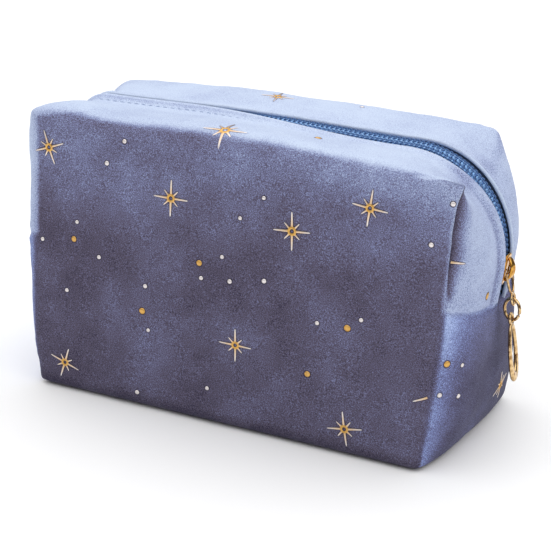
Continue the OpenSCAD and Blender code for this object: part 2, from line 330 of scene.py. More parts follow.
def bodyPatches(step):
    deep = pouch["deep"]
    lowRows, highRows, topColumns = (max(4, int(round(n / step))) for n in (62, 48, 165))
    stripColumns = max(4, int(round((deep - pouch["lip"]) / step)))
    middleColumns = max(2, int(round(2 * pouch["lip"] / step)))
    patches, edges = {}, {}
    ends = zipEnds(pouch["endSeam"] + 0.2)
    sharpEdge = 1e-5
    # how far along the zipper the upper corners of each end lie
    corners = [start + zipPath[side]["radius"] * math.radians(turn)
               for start, side, turn in ((74.9, "left", 45), (50.6, "right", 46))]
    for name, side in (("front", -1), ("back", 1)):
        top = pouch["topFront"] if side < 0 else pouch["topBack"]
        seam = float(seamHeight(deep))
        lowZ, highZ = np.linspace(0, seam, lowRows + 1), np.linspace(seam, top, highRows + 1)
        z = np.concatenate([lowZ, highZ[1:]])
        left = np.stack([edgeX(name + "Left", z), 0 * z + side * deep, z], 1)
        # the back's right corner stands higher than its left one
        zRight = z + (pouch["backRise"] if side > 0 else 0) * smoothStep((z - seam) / (top - seam))
        right = np.stack([edgeX(name + "Right", zRight), 0 * z + side * deep, zRight], 1)
        share = np.linspace(0, 1, topColumns + 1)
        topX = towards(left[-1, 0], right[-1, 0], share)
        arch = np.sin(math.pi * share).clip(0)
        rise = pouch["frontRise"] * arch ** 0.7 if side < 0 else pouch["backRise"] * share + pouch["backArch"] * arch
        high = np.stack([topX, 0 * topX + side * deep, top + rise], 1)
        lowX = towards(left[0, 0], right[0, 0], share)
        low = np.stack([lowX, 0 * lowX + side * deep, 0 * lowX], 1)
        grid = coons(left, right, low, high)
        edges[name] = (left, right, low, high, lowRows)
        # the panel goes over into the strip in a broad roll that tightens at the ears
        radius = sharpEdge + pouch[name + "Roll"] * smoothStep((82 - np.abs(topX)) / 30)
        past = grid[..., 2] - high[None, :, 2]
        goIn, goDown, inside = rollTurn(radius[None, :], past)
        grid[..., 1] -= side * goIn
        grid[..., 2] = np.where(inside, high[None, :, 2] - goDown, grid[..., 2])
        v, u = np.meshgrid(z / top, share, indexing="ij")
        grid[..., 1] += side * pouch[name + "Puff"] * (np.sin(math.pi * u) * np.sin(math.pi * v)).clip(0) ** 0.6
        patches[name] = grid
        # strip: from one end seam over the top to the other, and from the panel's edge to the lip
        outline = np.concatenate([left[lowRows:-1], high, right[lowRows:-1][::-1]])
        rolls = np.concatenate([np.full(highRows, sharpEdge), radius, np.full(highRows, sharpEdge)])
        alongs = np.concatenate([np.linspace(-ends[0], -corners[0], highRows + 1)[:-1],
                                 np.linspace(-corners[0], corners[1], topColumns + 1),
                                 np.linspace(corners[1], ends[1], highRows + 1)[1:]])
        t = np.linspace(0, 1, stripColumns + 1)[None, :]
        lip = lipAt(alongs)[:, None]
        y = towards(deep, lip, t)
        w = np.clip((deep - y) / (deep - pouch["level"]), 0, 1)
        steep = 1.15 + (0.7 if side > 0 else 1.5) * smoothStep((np.abs(alongs) - 35) / 35)[:, None]
        g = 1 - (1 - w) ** steep
        pathX, pathZ = zipPoint(alongs)
        strip = np.zeros(y.shape + (3,))
        strip[..., 0] = outline[:, None, 0] * (1 - g) + pathX[:, None] * g
        strip[..., 1] = y
        strip[..., 2] = outline[:, None, 2] * (1 - g) + pathZ[:, None] * g
        goIn, goDown, inside = rollTurn(rolls[:, None], deep - y)
        strip[..., 1] = side * np.where(inside, deep - goIn, y)
        # soft swells: the top between roll and lip, and the two upper ends
        onTop = smoothStep((84 - np.abs(outline[:, 0])) / 12) * (outline[:, 2] > top - 0.5)
        crest = (0.2 + 0.8 * closedShare(alongs - 20)) * onTop
        strip[..., 2] += crest[:, None] * np.sin(math.pi * w) - goDown
        shoulder = smoothStep((-outline[:, 0] - 52) / 20) * smoothStep((outline[:, 2] - top + 14) / 12) * (side < 0)
        strip[..., 2] += pouch["leftShoulder"] * shoulder[:, None] * np.sin(math.pi * w ** 0.8)
        upper = 1 - onTop
        puff = np.where(alongs < 0, pouch["upperPuffLeft"], pouch["upperPuffRight"]) * upper
        skew = np.where(alongs < 0, 0.5, 0.8)[:, None]
        strip[..., 0] += (np.sign(alongs) * puff)[:, None] * np.sin(math.pi * w ** skew) ** 0.8
        # the end seam rises from the zipper to the corners
        z0 = seamHeight(y)
        for row, near, far in ((0, corners[0], ends[0]), (-1, corners[1], ends[1])):
            isSide = (alongs < 0) if row == 0 else (alongs > 0)
            drop = smoothStep((np.abs(alongs) - near) / (far - near)) ** 3 * isSide
            strip[..., 2] += drop[:, None] * (z0[row] - strip[row, :, 2])[None, :]
        patches[name + "Strip"] = strip
        edges[name + "Strip"] = y * side
    # lower ends and base
    feet = {}
    for name, index, sign in (("Right", -1, 1), ("Left", 0, -1)):
        frontY, backY = edges["frontStrip"][index], edges["backStrip"][index]
        middleY = np.linspace(frontY[-1], backY[-1], middleColumns + 1)[1:-1]
        y = np.concatenate([frontY, middleY, backY[::-1]])
        frontEdge = edges["front"][1 if sign > 0 else 0][:lowRows + 1]
        backEdge = edges["back"][1 if sign > 0 else 0][:lowRows + 1]
        foot = np.stack([edgeX("foot" + name, y), y, 0 * y], 1)
        middle = zipPlace(sign * ends[1 if sign > 0 else 0], middleY)
        crown = np.concatenate([patches["frontStrip"][index], middle, patches["backStrip"][index][::-1]])
        grid = coons(frontEdge, backEdge, foot, crown)
        v, u = np.meshgrid(np.linspace(0, 1, lowRows + 1), (y + deep) / (2 * deep), indexing="ij")
        sharp = 0.55 if sign > 0 else 0.38
        bulge = np.sin(math.pi * u).clip(0) ** sharp * np.sin(math.pi * v ** 0.9).clip(0) ** 0.8
        grid[..., 0] += sign * pouch["endPuff" + name] * bulge
        patches["lower" + name] = grid
        feet[name] = foot
    patches["base"] = coons(edges["front"][2], edges["back"][2], feet["Left"], feet["Right"])
    return patches


def weldPatches(patches):
    points, faces, panel, start = [], [], [], 0
    flipped = ("back", "frontStrip", "lowerLeft")
    names = list(patches)
    for name in names:
        grid = patches[name]
        rows, columns = grid.shape[:2]
        points.append(grid.reshape(-1, 3))
        faces += gridFaces(rows, columns, start, flip=name in flipped)
        panel += [names.index(name)] * (rows * columns)
        start += rows * columns
    points, panel, faces = np.vstack(points), np.array(panel), np.array(faces)
    # points of neighbouring patches within 0.02 mm become one; the odd shift keeps them off the rounding's own steps
    keys = np.round(points / 0.02 + 0.2371).astype(np.int64)
    _, first, inverse = np.unique(keys, axis=0, return_index=True, return_inverse=True)
    inverse = inverse.reshape(-1)
    return points[first], inverse[faces], panel[faces[:, 0]], names


def meshEdges(faces):
    pairs = np.vstack([faces[:, [0, 1]], faces[:, [1, 2]], faces[:, [2, 3]], faces[:, [3, 0]]])
    pairs = pairs[pairs[:, 0] != pairs[:, 1]]
    return np.unique(np.sort(pairs, 1), axis=0)


def relax(points, pairs, weight, rounds):
    points = points.copy()
    degree = np.bincount(pairs.ravel(), minlength=len(points))
    for _ in range(rounds):
        total = np.zeros_like(points)
        for k in range(3):
            total[:, k] = (np.bincount(pairs[:, 0], points[pairs[:, 1], k], len(points))
                           + np.bincount(pairs[:, 1], points[pairs[:, 0], k], len(points)))
        points += weight[:, None] * 0.6 * (total / degree[:, None] - points)
    return points


def vertexNormals(points, faces):
    diagonal = np.cross(points[faces[:, 2]] - points[faces[:, 0]], points[faces[:, 3]] - points[faces[:, 1]])
    normals = np.zeros_like(points)
    for k in range(4):
        for axis in range(3):
            normals[:, axis] += np.bincount(faces[:, k], diagonal[:, axis], len(points))
    return normals / np.maximum(np.linalg.norm(normals, axis=1, keepdims=True), 1e-9)


def distanceTo(points, targets):
    tree = KDTree(len(targets))
    for i, p in enumerate(targets):
        tree.insert(p, i)
    tree.balance()
    return np.array([tree.find(p)[2] for p in points])


def noiseField(points, size, seed):
    shift = Vector((seed * 7.3, seed * 3.1, seed * 5.7))
    return np.array([noise.noise(Vector(p) / size + shift) for p in points])


def softFactor(points):
    # how much each point may round off: little on the ears and seams, none beside the zipper
    y = np.abs(points[:, 1])
    x, z = points[:, 0], points[:, 2]
    nearSide = smoothStep((np.abs(x) - 68) / 9)
    onPanel = smoothStep((y - 33) / 6)
    sharpEar = np.where(points[:, 1] < 0, np.where(x > 0, 0.92, 0.75), 0.45)
    ear = nearSide * onPanel * smoothStep((z - 86) / 12) * sharpEar
    upright = nearSide * onPanel * (1 - smoothStep((z - 100) / 8)) * smoothStep((z - 6) / 10) * 0.8
    factor = 1 - np.maximum(ear, upright)
    above = z > pouch["endSeam"] - 1
    fade = np.where(above, smoothStep((y - pouch["level"]) / 9), 1)
    lowEnd = smoothStep((pouch["endSeam"] - 1 - z) / 8)
    return factor * np.maximum(fade, lowEnd * ~above)


def shapeBody(step, rounds):
    patches = bodyPatches(step)
    points, faces, facePanel, names = weldPatches(patches)
    points = relax(points, meshEdges(faces), softFactor(points), rounds)
    points[:, 2] -= points[:, 2].min()
    return points, faces, facePanel, names


def buildBody():
    points, faces, facePanel, names = shapeBody(pouch["step"], pouch["rounds"])
    every = np.arange(len(points))
    onPanel = {name: np.isin(every, faces[facePanel == k]) for k, name in enumerate(names)}
    strip, onFront = onPanel["frontStrip"] | onPanel["backStrip"], onPanel["front"]
    # the seams as they lie after the rounding: points shared by two panels
    sides = sum(shared.astype(int) for shared in onPanel.values())
    x, y, z = points.T.copy()
    atLevel = (sides > 1) & (np.abs(x) > 66) & (np.abs(z - seamHeight(y)) < 2.5)
    atUpright = (sides > 1) & (np.abs(y) > 33) & (np.abs(x) > 66) & (z > 3)
    atUpright &= ~(atLevel & (np.abs(y) < 39.5))
    uprightDistance = distanceTo(points, points[atUpright])
    levelDistance = distanceTo(points, points[atLevel])
    normals = vertexNormals(points, faces)
    free = np.maximum(smoothStep((np.abs(y) - pouch["level"]) / 8), z < pouch["endSeam"] - 3)
    foot = smoothStep(z / 6)
    # soft swells and dents of padded fabric
    swell = 0.8 * noiseField(points, 36, 1) + 0.42 * noiseField(points, 14, 2) + 0.12 * noiseField(points, 5, 3)
    points = points + normals * (swell * free * foot)[:, None]
    pucker = 0.22 * noiseField(points * (1, 1, 2.4), 6, 4) * bell(uprightDistance, 5)
    points += normals * (pucker * foot)[:, None]
    # sewn seams lie in a valley
    points -= normals * (pouch["seamDeep"] * bell(uprightDistance, 1.4) * smoothStep((z - 3) / 6) * (x > 0))[:, None]
    # the upper end tucks in behind the front panel's right edge, deepest under the ear
    isEnd = strip & ~onFront & (x > 70) & (y < 0)
    high = smoothStep((z - 64) / 30)
    tuck = bell(uprightDistance - 1.2, 1.4 + 1.8 * high) * (0.25 + 0.75 * high) * isEnd
    tuck *= (1 - smoothStep((z - 102) / 6)) * smoothStep((levelDistance - 1) / 9)
    points[:, 0] -= pouch["tuckDeep"] * tuck
    groove = 0.9 * bell(levelDistance, 1.0) - 0.35 * bell(levelDistance - 2.6, 1.5)
    points -= normals * (groove * (np.abs(x) > 60) * smoothStep((uprightDistance - 0.8) / 5))[:, None]
    return points, faces, facePanel, names, uprightDistance, levelDistance, tuck


points, faces, facePanel, names, uprightDistance, levelDistance, tuck = buildBody()
besideZip = (np.abs(points[:, 1]) < pouch["level"]) & (points[:, 2] > pouch["endSeam"] + 0.5)
zipAlong = alongOf(points[besideZip])
zipX, zipZ = zipPoint(zipAlong, hemProfile(np.abs(points[besideZip, 1]) - lipAt(zipAlong), zipAlong))
points[besideZip, 0], points[besideZip, 2] = zipX, zipZ
print("velvet shaped:", len(points), "points")


def turnedEdge(side):
    # the velvet's lip, folded under beside the coil
    alongs = spaced(-zipEnd(pouch["endSeam"], -1), zipEnd(pouch["endSeam"], 1), pouch["step"])
    profile = [(0.12, 0.16), (-0.3, 0.0), (-0.52, -0.42), (-0.45, -0.95), (0.0, -1.3), (1.1, -1.42), (3.5, -1.45)]
    grid = np.zeros((len(alongs), len(profile), 3))
    for j, (past, out) in enumerate(profile):
        wave = (0.12 * np.sin(alongs * 0.21 + side) + 0.08 * np.sin(alongs * 0.67)) * (j in (1, 2, 3))
        grid[:, j] = zipPlace(alongs, side * (lipAt(alongs) + past + wave), out + lipRise(alongs))
    return grid.reshape(-1, 3), gridFaces(len(alongs), len(profile), 0, flip=side < 0)


# brushed polyester velvet, short pile; its tones are painted light and shade: pale painted sheen where the pile faces
# the light, slate painted shade where it faces away
velvetLook = {"tones": [(0.0, "#2b2940"), (0.15, "#443e50"), (0.3, "#5a5466"), (0.45, "#6d6c8b"), (0.6, "#8791b9"),
                        (0.75, "#abb7d6"), (1.0, "#c9d6ec")],
              "cloudMm": 24.0, "crushMm": 7.0, "pileMm": 0.36, "cloud": 0.18, "crush": 0.05, "pile": 0.46,
              "coolTint": (0.93, 0.99, 1.12, 1), "sheen": "#dfe8ff"}


def velvetMaterial():
    material, tree = newMaterial("brushedPolyesterVelvet")
    # the base tone is read from the painted light and shade laid on each point
    tone = addNode(tree, "ShaderNodeAttribute", {"attribute_name": "nap"}).outputs["Fac"]
    # wide cloudy areas, then brushed patches a few millimetres wide, then the tufts;
    # single tufts are 0.1 mm, drawn coarser so they show
    for key, detail in (("cloud", 2.0), ("crush", 3.0), ("pile", 1.0)):
        scale = 1 / (velvetLook[key + "Mm"] * mm)
        field = patternOn(tree, "ShaderNodeTexNoise", {"Scale": scale, "Detail": detail, "Roughness": 0.6})
        share = velvetLook[key] * 2
        shift = addNode(tree, "ShaderNodeMath", {"operation": "MULTIPLY_ADD", 1: share, 2: -share / 2},
                        {0: field.outputs["Fac"]})
        added = addNode(tree, "ShaderNodeMath", {"operation": "ADD", "use_clamp": True}, {0: tone, 1: shift.outputs[0]})
        tone = added.outputs[0]
    ramp = addNode(tree, "ShaderNodeValToRGB", None, {"Fac": tone})
    tones = velvetLook["tones"]
    ramp.color_ramp.elements[0].color = linear(tones[0][1])
    ramp.color_ramp.elements[1].color = linear(tones[-1][1])
    for position, colour in tones[1:-1]:
        ramp.color_ramp.elements.new(position).color = linear(colour)
    # the ends face cooler light, so their pile reads bluer
    cool = addNode(tree, "ShaderNodeAttribute", {"attribute_name": "cool"})
    tint = addNode(tree, "ShaderNodeMix", {"data_type": "RGBA", "blend_type": "MULTIPLY", 7: velvetLook["coolTint"]},
                   {0: cool.outputs["Fac"], 6: ramp.outputs["Color"]})
    bump = addNode(tree, "ShaderNodeBump", {"Strength": 0.4, "Distance": 0.25 * mm}, {"Height": field.outputs["Fac"]})
    finishMaterial(tree, {"Roughness": 0.92, "IOR": 1.5, "Specular IOR Level": 0.1, "Sheen Weight": 0.12,
                          "Sheen Roughness": 0.4, "Sheen Tint": linear(velvetLook["sheen"])},
                   {"Base Color": tint.outputs[2], "Normal": bump.outputs["Normal"]})
    return material


def addLayer(piece, name, values):
    layer = piece.data.attributes.new(name, "FLOAT", "POINT")
    layer.data.foreach_set("value", np.asarray(values, np.float32))


velvet = velvetMaterial()
# painted light and shade on each part of the velvet: 0 darkest, 1 palest; pale where the part is lit, dark where it is
# in shade
nap = {"front": 0.31, "frontUpper": 0.44, "footEdge": 0.12, "top": 0.93, "upperEnd": 0.75, "upperLeft": 0.82,
       "lowerEnd": 0.28, "lowerLeft": 0.6, "seamGlow": 0.3}


def paintedLightOf(points, faces, facePanel, names):
    x, y, z = points.T
    normals = vertexNormals(points, faces)
    up = normals[:, 2]
    # painted light: the front pales towards its top edge, most towards the upper right
    values = towards(nap["front"], nap["frontUpper"], smoothStep((z - 62) / 34))
    values = values + (0.04 + 0.16 * smoothStep((x - 15) / 50)) * smoothStep((z - 92) / 15)
    # painted sheen: faces turned up are painted the pale top tone
    rise = smoothStep((up - 0.68) / 0.3)
    values = towards(values, nap["top"], rise)
    # painted shade: the foot darkens where it meets the floor
    values = values + (nap["footEdge"] - values) * (1 - smoothStep((z - 1) / 7)) * 0.8
    every = np.bincount(faces.ravel(), minlength=len(points))
    share = {panel: np.bincount(faces[facePanel == names.index(panel)].ravel(), minlength=len(points)) / every
             for panel in ("lowerRight", "lowerLeft", "frontStrip", "backStrip")}
    strip = share["frontStrip"] + share["backStrip"]
    # painted light: the upper ends, which turn up to the light, are painted pale
    toEnd = strip * smoothStep((np.abs(x) - 70) / 12) * (1 - rise)
    endTone = np.where(x > 0, nap["upperEnd"], nap["upperLeft"])
    values = towards(values, endTone, np.clip(toEnd * 1.4, 0, 1))
    # painted sheen on the right lower end beside the front seam and the level seam, and painted shade towards its back
    seamSheenShare = bell(y + pouch["deep"], 7) + 0.5 * bell(levelDistance, 13)
    low = nap["lowerEnd"] + nap["seamGlow"] * seamSheenShare - 0.1 * smoothStep((y + 10) / 30)
    values = np.where(share["lowerRight"] > 0.6, low, values)
    # painted light: the left lower end is painted paler than the right one
    values = np.where(share["lowerLeft"] > 0.6, nap["lowerLeft"], values)
    high = smoothStep((z - 60) / 40)
    # shadow in the crease behind the front panel's right edge
    shade = 0.8 * bell(uprightDistance, 2.0 + 2.4 * high) + 0.15 * high * bell(uprightDistance, 8)
    shade *= (tuck > 1e-4) * smoothStep((levelDistance - 1) / 6)
    # painted shade in the stitched groove beside the right bend
    along = alongOf(points)
    groove = bell(np.abs(y) - lipAt(along) - pouch["stitchAt"], 1.3) * smoothStep((along - 70) / 30)
    groove *= z > pouch["endSeam"] + 1
    shade = shade + 0.2 * groove
    return np.clip(values - shade, 0, 1), share["lowerRight"] + share["lowerLeft"]


velvetPiece = makePiece("velvetShell", points, faces, velvet, "shell", "velvet", "outer_velvet")
velvetPaintedLight, endShare = paintedLightOf(points, faces, facePanel, names)
addLayer(velvetPiece, "nap", velvetPaintedLight)
addLayer(velvetPiece, "cool", endShare)
for name, side in (("frontLip", -1), ("backLip", 1)):
    lipPoints, lipFaces = turnedEdge(side)
    lip = makePiece(name, lipPoints, lipFaces, velvet, "shell", "velvet")
    # painted light: the lips are pale on top and painted darker in shade lower down the bend
    addLayer(lip, "nap", np.clip(1.0 - 0.3 * smoothStep((66 - lipPoints[:, 2]) / 30), 0, 1))
print("velvet lips turned")

# zipper tape: woven polyester, herringbone ribs about 0.8 mm apart
tapeLook = {"thick": 0.6, "deep": 1.9, "inner": 1.2, "outer": 12.8, "endZ": 49.5, "ribMm": 0.8,
            "colour": "#7c9fcb", "shade": "#4f70a0"}
wovenTape = twoTone("wovenPolyesterTape", "ShaderNodeTexWave",
                    {"wave_type": "BANDS", "bands_direction": "Y", "Scale": 1 / (tapeLook["ribMm"] * mm) * 0.16,
                     "Distortion": 1.5, "Detail": 1.0}, tapeLook["shade"], tapeLook["colour"],
                    {"Roughness": 0.75, "IOR": 1.5, "Sheen Weight": 0.2, "Sheen Roughness": 0.4}, bump=(0.5, 0.12))


def makeTape(name, side, node):
    ends = zipEnds(tapeLook["endZ"])
    alongs = spaced(-ends[0], ends[1], 2.0)
    widths = [tapeLook["inner"], 2.4, 4, 5.5, 8, 10.5, tapeLook["outer"]]
    under = tapeLook["deep"] + tapeLook["thick"]
    rows = [(y, -tapeLook["deep"]) for y in widths] + [(y, -under) for y in widths[::-1]]
    grid = np.stack([zipPlace(alongs, side * y, out) for y, out in rows], 1)
    tapeFaces = gridFaces(len(alongs), len(rows), 0, closeColumns=True, flip=side > 0)
    last = (len(alongs) - 1) * len(rows)
    caps = [tuple(range(len(rows))), tuple(last + i for i in range(len(rows)))[::-1]]
    piece = makePiece(name, grid.reshape(-1, 3), tapeFaces + caps, wovenTape, "shell", "zip_tape", node)


makeTape("frontTape", -1, "front_zip_tape")
makeTape("backTape", 1, "back_zip_tape")

# nylon coil: one monofilament wound at 1.9 mm to the turn, held down by two lines of thread
coilLook = {"pitch": 1.9, "wire": 0.46, "inner": 0.2, "outer": 4.3, "low": -1.75, "high": -0.35, "endZ": 53.0,
            "steps": 14, "colour": "#8fbcee", "shade": "#6a9ad2", "thread": "#5680b6", "threadDark": "#2d4f86",
            "threadRows": (1.9, 3.9, 5.5)}
extrudedNylon = twoTone("extrudedNylonCoil", "ShaderNodeTexNoise", {"Scale": 1 / (2.5 * mm), "Detail": 2.0},
                        coilLook["shade"], coilLook["colour"],
                        {"Roughness": 0.34, "IOR": 1.53, "Coat Weight": 0.15, "Coat Roughness": 0.3})


def spunThread(name, light, dark):
    # spun polyester thread: matte, with a slight sheen along the twist, 0.5 mm to the turn
    return twoTone(name, "ShaderNodeTexNoise", {"Scale": 1 / (0.5 * mm), "Detail": 2.0}, dark, light,
                   {"Roughness": 0.7, "IOR": 1.5, "Sheen Weight": 0.3, "Sheen Roughness": 0.4}, bump=(0.4, 0.1))


coilThread = spunThread("spunPolyesterThread", coilLook["thread"], coilLook["threadDark"])


def makeCoil(name, side, node):
    ends = zipEnds(coilLook["endZ"])
    steps, wire, pitch = coilLook["steps"], coilLook["wire"], coilLook["pitch"]
    angle = np.arange(int(sum(ends) / pitch) * steps + 1) * 2 * math.pi / steps
    # the upper bar of each turn leans forward and its lower bar back, as a wound coil lies
    alongs = -ends[0] + angle / (2 * math.pi) * pitch + (0.0 if side < 0 else pitch / 2)
    inner, outer, low, high = (coilLook[k] for k in ("inner", "outer", "low", "high"))
    squareness = lambda v: np.sign(v) * np.abs(v) ** 0.7
    y = side * ((inner + outer) / 2 + ((outer - inner) / 2 - wire) * squareness(np.cos(angle)))
    out = (high + low) / 2 + ((high - low) / 2 - wire) * squareness(np.sin(angle))
    makePiece(name, *sweep(zipPlace(alongs, y, out), wire, wire, sides=6, across=(0.3, 0.5, 0.8)),
              extrudedNylon, "shell", "coil", node)


def makeCoilThreads(name, side):
    ends = zipEnds(coilLook["endZ"] + 1)
    alongs = spaced(-ends[0], ends[1], coilLook["pitch"] / 6)
    phase = (alongs + ends[0]) / coilLook["pitch"] * 2 * math.pi
    parts = []
    for y in coilLook["threadRows"]:
        # the outermost row holds the tape only, and lies on it
        ground = coilLook["high"] - 0.22 if y < 5 else -tapeLook["deep"] + 0.1
        bead = np.abs(np.sin(phase / 2 + y))
        path = zipPlace(alongs, side * (y + 0.1 * np.sin(phase)), ground + 0.3 * bead)
        parts.append(sweep(path, 0.36, 0.3, sides=6, scale=0.25 + 0.75 * bead))
    makePiece(name, *joinParts(parts), coilThread, "shell", "coil")


makeCoil("frontCoil", -1, "front_coil")
makeCoil("backCoil", 1, "back_coil")
makeCoilThreads("frontCoilThread", -1)
makeCoilThreads("backCoilThread", 1)
print("zipper wound")

# topstitching beside each lip
stitch = {"long": 2.5, "gap": 0.65, "radius": 0.2, "out": 0.12,
          "colour": "#8fa3cb", "shade": "#64779f"}
stitchThread = spunThread("twistedPolyesterTopstitch", stitch["colour"], stitch["shade"])


def makeStitches(name, side):
    ends = zipEnds(pouch["endSeam"] + 2)
    lift = stitch["out"] + np.array([-0.3, 0.02, 0.1, 0.02, -0.3])
    parts, start = [], -ends[0]
    while start + stitch["long"] < ends[1]:
        alongs = np.linspace(start, start + stitch["long"], 5)
        ground = hemProfile(np.full(5, pouch["stitchAt"]), alongs)
        path = zipPlace(alongs, side * (lipAt(alongs) + pouch["stitchAt"]), ground + lift)
        parts.append(sweep(path, stitch["radius"], stitch["radius"] * 0.8, sides=6, scale=[0.7, 1, 1, 1, 0.7]))
        start += stitch["long"] + stitch["gap"]
    makePiece(name, *joinParts(parts), stitchThread, "shell", "velvet")


makeStitches("frontTopstitch", -1)
makeStitches("backTopstitch", 1)

# foil print: gold stars with four long and four short rays, and round spots, pressed on the pile
foil = {"long": 6.9, "short": 4.0, "width": 0.43, "heart": 1.75, "hollow": 0.75, "lift": 0.16, "mark": 0.3,
        "spot": 0.85, "goldSpot": 1.25, "grainMm": 0.6, "gold": "#d6a75a", "pale": "#e9e3e2"}


def foilMaterial():
    # hot-pressed metallic foil: gold at the heart, silvery where it thins out towards the rays' tips, partly a painted
    # reflection of the pale surroundings; slightly broken by the pile below it
    material, tree = newMaterial("hotPressedMetallicFoil")
    pale = addNode(tree, "ShaderNodeAttribute", {"attribute_name": "paleness"})
    grain = patternOn(tree, "ShaderNodeTexNoise", {"Scale": 1 / (foil["grainMm"] * mm), "Detail": 3.0})
    broken = addNode(tree, "ShaderNodeMath", {"operation": "MULTIPLY_ADD", 1: 0.7, 2: -0.35}, {0: grain.outputs["Fac"]})
    share = addNode(tree, "ShaderNodeMath", {"operation": "ADD", "use_clamp": True},
                    {0: pale.outputs["Fac"], 1: broken.outputs[0]})
    mix = addNode(tree, "ShaderNodeMix", {"data_type": "RGBA", 6: linear(foil["gold"]), 7: linear(foil["pale"])},
                  {0: share.outputs[0]})
    bump = addNode(tree, "ShaderNodeBump", {"Strength": 0.5, "Distance": 0.12 * mm}, {"Height": grain.outputs["Fac"]})
    finishMaterial(tree, {"Metallic": 1.0, "Roughness": 0.34},
                   {"Base Color": mix.outputs[2], "Normal": bump.outputs["Normal"]})
    return material


foilSheen = foilMaterial()

bpy.context.view_layer.update()
velvetTree = BVHTree.FromPolygons([Vector(p) for p in points], [tuple(int(i) for i in f) for f in faces])
lookFrom = {"front": ((0, -200, 0), (0, 1, 0)), "back": ((0, 200, 0), (0, -1, 0)), "top": ((0, 0, 300), (0, 0, -1)),
            "right": ((300, 0, 0), (-1, 0, 0)), "left": ((-300, 0, 0), (1, 0, 0)), "base": ((0, 0, -100), (0, 0, 1))}


def onVelvet(face, u, v):
    # a point on the velvet: u and v are the other two coordinates, in X, Y, Z order
    origin, direction = (Vector(a) for a in lookFrom[face])
    free = [k for k in range(3) if abs(direction[k]) < 0.5]
    origin[free[0]], origin[free[1]] = u, v
    place, normal, _, _ = velvetTree.ray_cast(origin, direction)
    return place, normal


def layOnVelvet(centre, normal, turn, outline):
    # walks out from the centre to each point in short steps, so that the outline keeps its size as the surface bends
    up = Vector((0, 0, 1)) if abs(normal.z) < 0.8 else Vector((0, 1, 0))
    across = up.cross(normal).normalized()
    rise = normal.cross(across).normalized()
    c, s = math.cos(turn), math.sin(turn)
    laid = []
    for a, b, lift, _ in outline:
        heading = across * (a * c - b * s) + rise * (a * s + b * c)
        steps = max(1, math.ceil(heading.length / 1.5))
        stride = heading.length / steps
        place, facing = centre, normal
        for _ in range(steps):
            heading = (heading - facing * heading.dot(facing)).normalized()
            place, facing, _, _ = velvetTree.find_nearest(place + heading * stride)
        laid.append(tuple(place + facing * (foil["lift"] + lift)))
    return np.array(laid)


def starOutline(size, rays=range(8), grow=0.0):
    # eight rays round a hollow heart; each point also carries how pale the foil is there, palest at the rays' tips,
    # partly a painted reflection.
    # grow widens it into the mark that the hot press leaves in the pile, darkened with painted shadow beside the foil
    points, faces = [], []
    lifts = (-0.05, 0.1, -0.05) if not grow else (-0.12, -0.08, -0.12)
    for k in rays:
        isLong = k % 2 == 0
        angle = k * math.pi / 4
        reach = (foil["long"] if isLong else foil["short"]) * size + grow * 0.5
        across = foil["width"] * size * (1 if isLong else 0.85) + grow
        begin = foil["heart"] * size * 0.8
        cells = 8 if isLong else 5
        first = len(points)
        for i in range(cells + 1):
            t = i / cells
            half = across * (1 - 0.45 * t) * (0.55 if i == cells else 1)
            r = begin + (reach - begin) * t
            for sideways, lift in zip((-half, 0, half), lifts):
                points.append((r * math.cos(angle) - sideways * math.sin(angle),
                               r * math.sin(angle) + sideways * math.cos(angle), lift, 0.25 + 0.75 * t))
            if i:
                a = first + 3 * (i - 1)
                faces += [(a, a + 3, a + 4, a + 1), (a + 1, a + 4, a + 5, a + 2)]
    if len(rays) < 8:
        return points, faces
    sides = 20
    first = len(points)
    middle = (foil["hollow"] + foil["heart"]) / 2
    rings = (foil["hollow"] - grow, lifts[0]), (middle, lifts[1] * 2), (foil["heart"] + grow, lifts[2])
    for r, lift in rings:
        for i in range(sides):
            a = i * 2 * math.pi / sides
            wavy = r * size * (1 + 0.12 * math.cos(8 * a)) if r > 1 else r * size
            points.append((wavy * math.cos(a), wavy * math.sin(a), lift, 0.0))
    return points, faces + gridFaces(len(rings), sides, first, closeColumns=True, flip=True)


def spotOutline(radius, paleness, raised=True):
    lifts = (0.26, 0.2, 0.08, -0.12) if raised else (-0.1,) * 4
    points, faces = [(0, 0, lifts[0], paleness)], []
    sides = 12
    for r, lift in zip((0.55, 0.9, 1.0), lifts[1:]):
        for i in range(sides):
            a = i * 2 * math.pi / sides
            points.append((radius * r * math.cos(a), radius * r * math.sin(a), lift, paleness))
    faces += [(0, 1 + i, 1 + (i + 1) % sides) for i in range(sides)]
    return points, faces + gridFaces(3, sides, 1, closeColumns=True, flip=True)


# where the print falls: face, its two coordinates in millimetres, the turn in degrees, then the star's own size if any
starPlaces = [("front", -77.4, 97.8, 20), ("front", -25.4, 86.6, 0), ("front", 22.7, 82.4, 4),
              ("front", 50.9, 95.5, -5), ("front", -71.1, 11.8, -18), ("front", 2.6, 35.0, 0),
              ("front", 46.8, 11.2, 10), ("top", -8.1, -35.6, 2, 1.2), ("top", -15.0, 26.0, 8),
              ("right", 12.6, 16.8, 20)]
# single rays of stars that the seams swallow: the last number shifts the ray back along itself
rayPlaces = [("right", -38.5, 80.2, -8, [0], 4.0), ("front", 74.2, 29.0, 205, [0], 4.0)]
